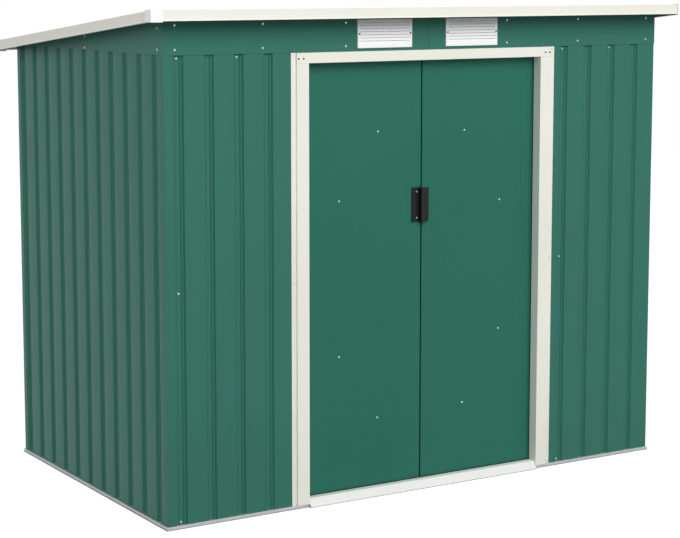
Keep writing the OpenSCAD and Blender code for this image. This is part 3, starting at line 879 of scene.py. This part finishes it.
# Screws of the leaves: places out from the seam, and each leaf's heights from the top down
LEAF_PLACES = (0.176, 0.328, 0.328, 0.176)
LEAF_SCREWS = (
    ("door_leaf_left", LEFT_LEAF, -1, (1.230, 1.005, 0.482, 0.258)),
    ("door_leaf_right", RIGHT_LEAF, 1, (1.220, 0.971, 0.516, 0.268)),
)

# The pull's plate, and where its screws stand from its left edge and its ends
PULL_PLATE = 0.0035
PULL_SCREW_IN, PULL_SCREW_END = 0.0185, 0.014


def screw_heads(spots, outwards, sizes, washer=True):
    """Shells of screws: a turned outline set at each spot, its axis along outwards.

    The outline gives a radius and a height; each is turned round the axis, with a small socket.
    """
    wide = sizes.washer if washer else sizes.head
    lip = 0.0005 if washer else 0
    head = sizes.head
    radius = np.array([wide, wide, head, head * 0.97, head * 0.74, head * 0.34, head * 0.26])
    height = np.array([-0.0004, lip, lip, sizes.rise * 0.55, sizes.rise, sizes.rise * 1.02, sizes.rise * 0.6])
    turn = np.linspace(0, 2 * math.pi, sizes.sides, endpoint=False)
    axis = np.array(outwards, float) / np.linalg.norm(outwards)
    first = np.cross(axis, [0, 0, 1] if abs(axis[2]) < 0.9 else [0, 1, 0])
    first /= np.linalg.norm(first)
    second = np.cross(axis, first)
    ring = np.cos(turn)[:, None] * first + np.sin(turn)[:, None] * second
    loops = radius[:, None, None] * ring + height[:, None, None] * axis
    points, faces = tube(loops, ends="face")
    return [(points + spot, faces) for spot in np.array(spots, float)]


def band_screws(sizes):
    """Two rows on the front band, and the rows on the side gables."""
    out = FRONT - SHEET
    shells = screw_heads([[x, out, z] for x in BAND_PLACES for z in BAND_ROWS], FORWARDS, sizes)
    for side in (-1, 1):
        x = side * (HALF_WIDTH + SHEET)
        shells += screw_heads([[x, *place] for place in GABLE_PLACES], (side, 0, 0), sizes)
    return shells


def wall_screws(sizes):
    """Screws on the grooves' floors, beside the bead: rows at the head, middle and foot.

    The head's row has one in every other groove. The rows below have one in the first groove, or
    in every fourth on a long wall.
    """
    walls = bpy.context.scene.shed_walls
    shells = []
    panel = corners("front_wall_left")[1][0] + HALF_WIDTH
    panels = {
        "front": [(0, panel), (2 * HALF_WIDTH - panel, panel)],
        "rear": [(0, 2 * HALF_WIDTH)],
    }
    for side, runs in panels.items():
        outwards = -np.array([*SIDES[side][2], 0], float)
        for shift, run in runs:
            count = groove_count(walls, run)
            along = shift + walls.first - BEAD_SIDE + walls.pitch * np.arange(count)
            few = along[::4] if count > 5 else along[:1]
            for places, z in ((along[::2], HEAD_ROW), (few, MIDDLE_ROW), (few, FOOT_ROW)):
                if side == "rear":
                    z = min(z, corners("rear_wall")[1][2] - REAR_TOP_IN)
                plan = on_side(side, np.column_stack([places, np.full(len(places), walls.depth)]))
                shells += screw_heads(np.column_stack([plan, np.full(len(plan), z)]), outwards, sizes)
    return shells


def trim_screws(sizes):
    """Screws of the jambs' flanges and the fascias."""
    flange, out = corners("door_jamb_right")[1][0] - JAMB_IN, FRONT - SHEET
    shells = screw_heads([[side * flange, out, z] for side in (-1, 1) for z in JAMB_ROWS], FORWARDS, sizes)
    roof = bpy.context.scene.shed_roof
    over = roof.cover - CAP_THICKNESS
    up = (0, math.sin(roof.pitch), math.cos(roof.pitch))
    fronts = np.array(FASCIA_PLACES)
    sides = np.array([-1, 1]) * (CAD_BOX[1][0] - FASCIA_IN)
    length_down = (CAD_BOX[1][1] - ROOF_FRONT) / math.cos(roof.pitch)
    spots = [on_roof(fronts, down, over) for down in (FASCIA_IN, length_down - FASCIA_IN)]
    spots += [on_roof(sides, down, over) for down in FASCIA_DOWN]
    return shells + screw_heads(np.vstack(spots), up, sizes)


def dark_rivets(sizes):
    """Rivets at the header's ends, and one on each side of a vent's frame."""
    face = corners("door_header")[0][1]
    spots = [[side * x, face, HEADER_ROW] for side in (-1, 1) for x in HEADER_PLACES]
    for node in ("vent_left", "vent_right"):
        low, high = corners(node)
        middle = (low[2] + high[2]) / 2
        spots += [[x, low[1], middle] for x in (low[0] + VENT_RIVET_IN, high[0] - VENT_RIVET_IN)]
    return screw_heads(spots, FORWARDS, sizes, washer=False)


def leaf_screws(node, side, heights, sizes):
    """Screws on a leaf's face, over the braces behind it."""
    face = corners(node)[0][1] + bpy.context.scene.shed_doors.height
    spots = [[side * x, face, z] for x, z in zip(LEAF_PLACES, heights)]
    return screw_heads(spots, FORWARDS, sizes)


def pull_screws(sizes):
    """The two screws of the pull's plate, on its face."""
    low, high = corners("door_pull")
    plate = corners("door_leaf_left")[0][1] - PULL_PLATE
    spots = [[low[0] + PULL_SCREW_IN, plate, z] for z in (low[2] + PULL_SCREW_END, high[2] - PULL_SCREW_END)]
    return screw_heads(spots, FORWARDS, sizes, washer=False)


class SHED_OT_screws(Operator):
    """Make the screws of the walls, trim, leaves and pull, and the dark rivets of header and vents"""

    bl_idname = "shed.screws"
    bl_label = "Screws"

    def execute(self, context):
        sizes = context.scene.shed_screws
        steel = finish_of("screw_steel")
        add_piece("band_screws", band_screws(sizes), steel, SHED)
        add_piece("wall_screws", wall_screws(sizes), steel, SHED)
        add_piece("trim_screws", trim_screws(sizes), steel, SHED)
        add_piece("dark_rivets", dark_rivets(sizes), finish_of("nylon"), SHED)
        for node, body, side, heights in LEAF_SCREWS:
            add_piece(f"{node}_screws", leaf_screws(node, side, heights, sizes), steel, body)
        add_piece("door_pull_screws", pull_screws(sizes), steel, LEFT_LEAF)
        return {"FINISHED"}


class SHED_OT_inner_frame(Operator):
    """Give every part of the frame that stays as it is the finish of its slot"""

    bl_idname = "shed.inner_frame"
    bl_label = "Posts, rails, tracks and sliders"

    def execute(self, context):
        for node, part in frame["nodes"].items():
            if not part.hide_render:
                part.data.materials.clear()
                part.data.materials.append(finish_of(slot_of(node)))
        return {"FINISHED"}


# ---- stage ----

# The floor as it is seen: its own glow, the share of that glow, and the pale rest that takes shadow
FLOOR_GLOW = 1.18
GLOW_SHARE = 0.80
FLOOR_PALE = (0.95, 0.95, 0.95, 1)

# Half the floor's width, and the heights of the floor and of the plain patches on it
FLOOR_REACH = 9
FLOOR_HEIGHT, SHED_PATCH_HEIGHT, THRESHOLD_PATCH_HEIGHT = -0.0006, -0.0003, -0.0001

# Each lamp with the setting that holds its power, and its turn from the front and rise in degrees
LAMPS = (("Front lamp", "front", 2, 32), ("Side lamp", "side", -91, 22), ("Back lamp", "back", 138, 30))
LAMPS_AIM = (0, 0, 0.8)


def seen_directly(tree):
    """1 for camera, mirror and glass rays, and 0 for the light that falls on the object."""
    path = add_node(tree, "ShaderNodeLightPath").outputs
    seen = combined(tree, "MAXIMUM", path["Is Camera Ray"], path["Is Glossy Ray"])
    return combined(tree, "MAXIMUM", seen, path["Is Transmission Ray"])


def mixed_shader(tree, share, first, second):
    """Two shaders mixed, with that share of the second."""
    mixed = add_node(tree, "ShaderNodeMixShader", {0: share})
    tree.links.new(first.outputs[0], mixed.inputs[1])
    tree.links.new(second.outputs[0], mixed.inputs[2])
    return mixed


def floor_paint(name, base):
    """A new material of its own with a plain matte shader, not yet joined to its output."""
    made = bpy.data.materials.new(name)
    made.use_nodes = True
    tree = made.node_tree
    tree.nodes.clear()
    return made, tree, add_node(tree, "ShaderNodeBsdfDiffuse", {"Color": (*base, 1)})


def floor_patch(name, low, high, z, material):
    """A rectangle of floor: the four corners between two, at a height."""
    x, y = np.meshgrid([low[0], high[0]], [low[1], high[1]])
    mesh = bpy.data.meshes.new(name)
    mesh.from_pydata(np.column_stack([x.ravel(), y.ravel(), np.full(4, z)]).tolist(), [], [(0, 1, 3, 2)])
    mesh.materials.append(material)
    patch = bpy.data.objects.new(name, mesh)
    bpy.context.scene.collection.objects.link(patch)


def make_sky(scene, strength_on_object):
    """A white world: full strength where it is seen, and faint as light on the object."""
    world = bpy.data.worlds.new("Studio")
    scene.world = world
    world.use_nodes = True
    tree = world.node_tree
    tree.nodes.clear()
    strength = spread(tree, seen_directly(tree), strength_on_object, 1.0)
    sky = add_node(tree, "ShaderNodeBackground", {"Color": (1, 1, 1, 1), "Strength": strength})
    tree.links.new(sky.outputs[0], add_node(tree, "ShaderNodeOutputWorld").inputs["Surface"])


def make_floor(stage):
    """The wide floor, white where it is seen directly and plain grey to all other light."""
    made, tree, matte = floor_paint("studio_floor", stage.floor)
    pale = add_node(tree, "ShaderNodeBsdfDiffuse", {"Color": FLOOR_PALE})
    glow = add_node(tree, "ShaderNodeEmission", {"Color": (1, 1, 1, 1), "Strength": FLOOR_GLOW})
    shown = mixed_shader(tree, GLOW_SHARE, pale, glow)
    mixed = mixed_shader(tree, seen_directly(tree), matte, shown)
    tree.links.new(mixed.outputs[0], add_node(tree, "ShaderNodeOutputMaterial").inputs["Surface"])
    reach = FLOOR_REACH
    floor_patch("studio_floor", [-reach, -reach], [reach, reach], FLOOR_HEIGHT, made)


def make_patches(stage):
    """Plain grey floor under the shed and its threshold, so that no glow shows inside or below; its strip
    past the base and in front of the threshold is a painted contact shadow.
    """
    shade, tree, matte = floor_paint("floor_under_shed", stage.floor)
    tree.links.new(matte.outputs[0], add_node(tree, "ShaderNodeOutputMaterial").inputs["Surface"])
    # The grey patches reach this far past the base and the threshold's front: a painted contact shadow along
    # the foot
    near = np.array([stage.painted_contact_shadow] * 2)
    rails = np.array([corners(n) for n in frame["nodes"] if n.startswith("base_rail_")])
    low, high = rails.min((0, 1))[:2], rails.max((0, 1))[:2]
    floor_patch("floor_under_shed", low - near, high + near, SHED_PATCH_HEIGHT, shade)
    low, high = (v[:2] for v in corners("threshold_ramp"))
    floor_patch("floor_under_threshold", low - near, high, THRESHOLD_PATCH_HEIGHT, shade)


def make_lamp(scene, stage, name, power, turn, rise):
    """A soft disc lamp at the stage's reach, turned from the front and raised, facing the shed.

    Its direction is (sin turn * cos rise, -cos turn * cos rise, sin rise).
    """
    lamp = bpy.data.lights.new(name, "AREA")
    lamp.shape, lamp.size, lamp.energy = "DISK", stage.width, power
    level = math.cos(rise)
    towards = Vector((math.sin(turn) * level, -math.cos(turn) * level, math.sin(rise)))
    holder = bpy.data.objects.new(name, lamp)
    holder.location = Vector(LAMPS_AIM) + stage.reach * towards
    holder.rotation_euler = towards.to_track_quat("Z", "Y").to_euler()
    scene.collection.objects.link(holder)


def make_camera(scene, stage):
    """The camera: turned by its yaw about the vertical, and down by its dip."""
    lens = bpy.data.cameras.new("Camera")
    lens.lens, lens.sensor_width, lens.shift_y = stage.lens, 36.0, stage.shift
    lens.clip_start, lens.clip_end = 0.1, 100
    camera = bpy.data.objects.new("Camera", lens)
    camera.location = stage.place
    camera.rotation_euler = (math.pi / 2 - stage.dip, 0, -stage.yaw)
    scene.collection.objects.link(camera)
    scene.camera = camera


class SHED_OT_stage(Operator):
    """Make the floor, the light and the camera"""

    bl_idname = "shed.stage"
    bl_label = "Stage"

    def execute(self, context):
        scene, stage = context.scene, context.scene.shed_stage
        make_sky(scene, stage.sky)
        make_floor(stage)
        make_patches(stage)
        for name, setting, turn, rise in LAMPS:
            make_lamp(scene, stage, name, getattr(stage, setting), math.radians(turn), math.radians(rise))
        make_camera(scene, stage)
        scene.view_settings.view_transform = "Standard"
        return {"FINISHED"}


OPERATORS = (
    SHED_OT_walls,
    SHED_OT_gables,
    SHED_OT_roof,
    SHED_OT_trim,
    SHED_OT_base,
    SHED_OT_doors,
    SHED_OT_vents,
    SHED_OT_screws,
    SHED_OT_inner_frame,
    SHED_OT_stage,
)


class SHED_PT_panel(Panel):
    """Lists the shed's operators and sizes"""

    bl_idname = "SHED_PT_panel"
    bl_label = "Metal storage shed"
    bl_space_type = "VIEW_3D"
    bl_region_type = "UI"
    bl_category = "Shed"

    def draw(self, context):
        for operator in OPERATORS:
            self.layout.operator(operator.bl_idname)
        for group, kind in GROUPS.items():
            box = self.layout.box()
            box.label(text=kind.__doc__)
            for name in kind.__annotations__:
                box.prop(getattr(context.scene, group), name)


def register():
    """Registers the classes, and hangs each group of sizes on the scene."""
    for kind in (*GROUPS.values(), *OPERATORS, SHED_PT_panel):
        bpy.utils.register_class(kind)
    for name, kind in GROUPS.items():
        setattr(bpy.types.Scene, name, PointerProperty(type=kind))


def unregister():
    """Undoes register."""
    for name in GROUPS:
        delattr(bpy.types.Scene, name)
    for kind in reversed((*GROUPS.values(), *OPERATORS, SHED_PT_panel)):
        bpy.utils.unregister_class(kind)


def main():
    """Makes the whole shed."""
    register()
    bpy.ops.shed.walls()
    bpy.ops.shed.gables()
    bpy.ops.shed.roof()
    bpy.ops.shed.trim()
    bpy.ops.shed.base()
    bpy.ops.shed.doors()
    bpy.ops.shed.vents()
    bpy.ops.shed.screws()
    bpy.ops.shed.inner_frame()
    bpy.ops.shed.stage()


if __name__ == "__main__":
    main()
